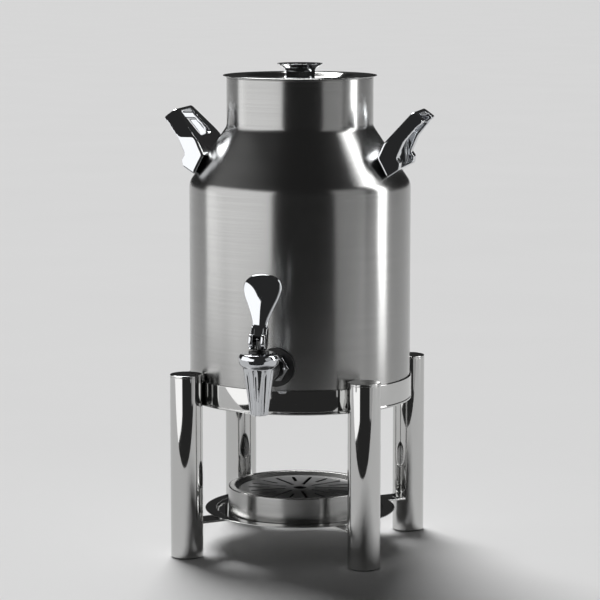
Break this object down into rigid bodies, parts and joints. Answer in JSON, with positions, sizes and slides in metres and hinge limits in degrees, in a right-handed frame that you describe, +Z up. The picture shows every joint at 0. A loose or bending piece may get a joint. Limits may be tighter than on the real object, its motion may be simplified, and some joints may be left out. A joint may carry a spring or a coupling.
{
  "type": "coffee urn",
  "caption": "Free-standing milk-can coffee urn with a lift-off lid, side handles and a self-closing lever tap, in a tube-legged stand with a drip tray and slotted grate.",
  "frame": {"origin": "on the table, under the urn's upright axis", "axes": "+Z up along the urn's axis; the tap points along -Y, so a user stands at -Y; +X is to the right as the user faces the tap"},
  "size_m": [0.2702, 0.3272, 0.5056],
  "materials": {
    "brushed_steel_skin": "fine brushed stainless steel",
    "plain_steel": "plain mill-finished stainless steel",
    "polished_steel": "mirror-polished stainless steel",
    "chrome_casting": "bright chrome plate on a casting",
    "black_rubber": "soft black rubber",
    "black_plastic": "black moulded plastic"
  },
  "bodies": {
    "stand": {"ring_screws": "plain_steel", "leg_front_right": "polished_steel", "dish_arm_front_right": "polished_steel", "leg_front_left": "polished_steel", "dish_arm_front_left": "polished_steel", "leg_back_left": "polished_steel", "dish_arm_back_left": "polished_steel", "leg_back_right": "polished_steel", "dish_arm_back_right": "polished_steel", "leg_caps": "polished_steel", "leg_feet": "black_plastic", "support_ring": "polished_steel", "support_ledge": "polished_steel", "tray_dish": "polished_steel"},
    "drip_tray": {"drip_tray": "brushed_steel_skin"},
    "drip_grate": {"drip_grate": "brushed_steel_skin"},
    "urn": {"handle_screws": "plain_steel", "shell_body": "brushed_steel_skin", "shell_shoulder": "brushed_steel_skin", "shell_neck": "brushed_steel_skin", "tank_body": "plain_steel", "tank_shoulder": "plain_steel", "tank_neck": "plain_steel", "base_cover": "plain_steel", "handle_right": "chrome_casting", "handle_left": "chrome_casting", "tap_gasket": "black_rubber", "tank_sleeve": "plain_steel", "tank_washer": "black_rubber", "tank_nut": "plain_steel", "tap_shank": "plain_steel", "tap_body": "chrome_casting", "tap_bonnet": "black_plastic"},
    "lid": {"lid_disc": "brushed_steel_skin", "lid_pan": "plain_steel", "lid_seal": "black_rubber", "lid_knob": "chrome_casting", "knob_screw": "plain_steel"},
    "stem": {"tap_stem": "plain_steel", "seat_cup": "black_rubber", "tap_spring": "plain_steel"},
    "lever": {"tap_lever": "chrome_casting", "lever_pin": "plain_steel"}
  },
  "joints": [
    {"name": "urn_lift", "type": "slide", "parent": "stand", "child": "urn", "axis": [0, 0, 1], "range_m": [0, 0.06]},
    {"name": "lid_lift", "type": "slide", "parent": "urn", "child": "lid", "axis": [0, 0, 1], "range_m": [0, 0.06]},
    {"name": "tray_lift", "type": "slide", "parent": "stand", "child": "drip_tray", "axis": [0, 0, 1], "range_m": [0, 0.06]},
    {"name": "grate_lift", "type": "slide", "parent": "drip_tray", "child": "drip_grate", "axis": [0, 0, 1], "range_m": [0, 0.03]},
    {"name": "stem_lift", "type": "slide", "parent": "urn", "child": "stem", "axis": [0, 0, 1], "range_m": [0, 0.0034], "deforming": ["tap_spring"]},
    {"name": "lever_pull", "type": "hinge", "parent": "stem", "child": "lever", "pos_m": [0, -0.19, 0.24175], "axis": [1, 0, 0], "range_deg": [0, 38], "stiffness_Nm_per_rad": 0.5, "springref_deg": -17.19}
  ],
  "couplings": [
    {"joint": "stem_lift", "follows": "lever_pull", "m_per_rad": 0.005}
  ]
}
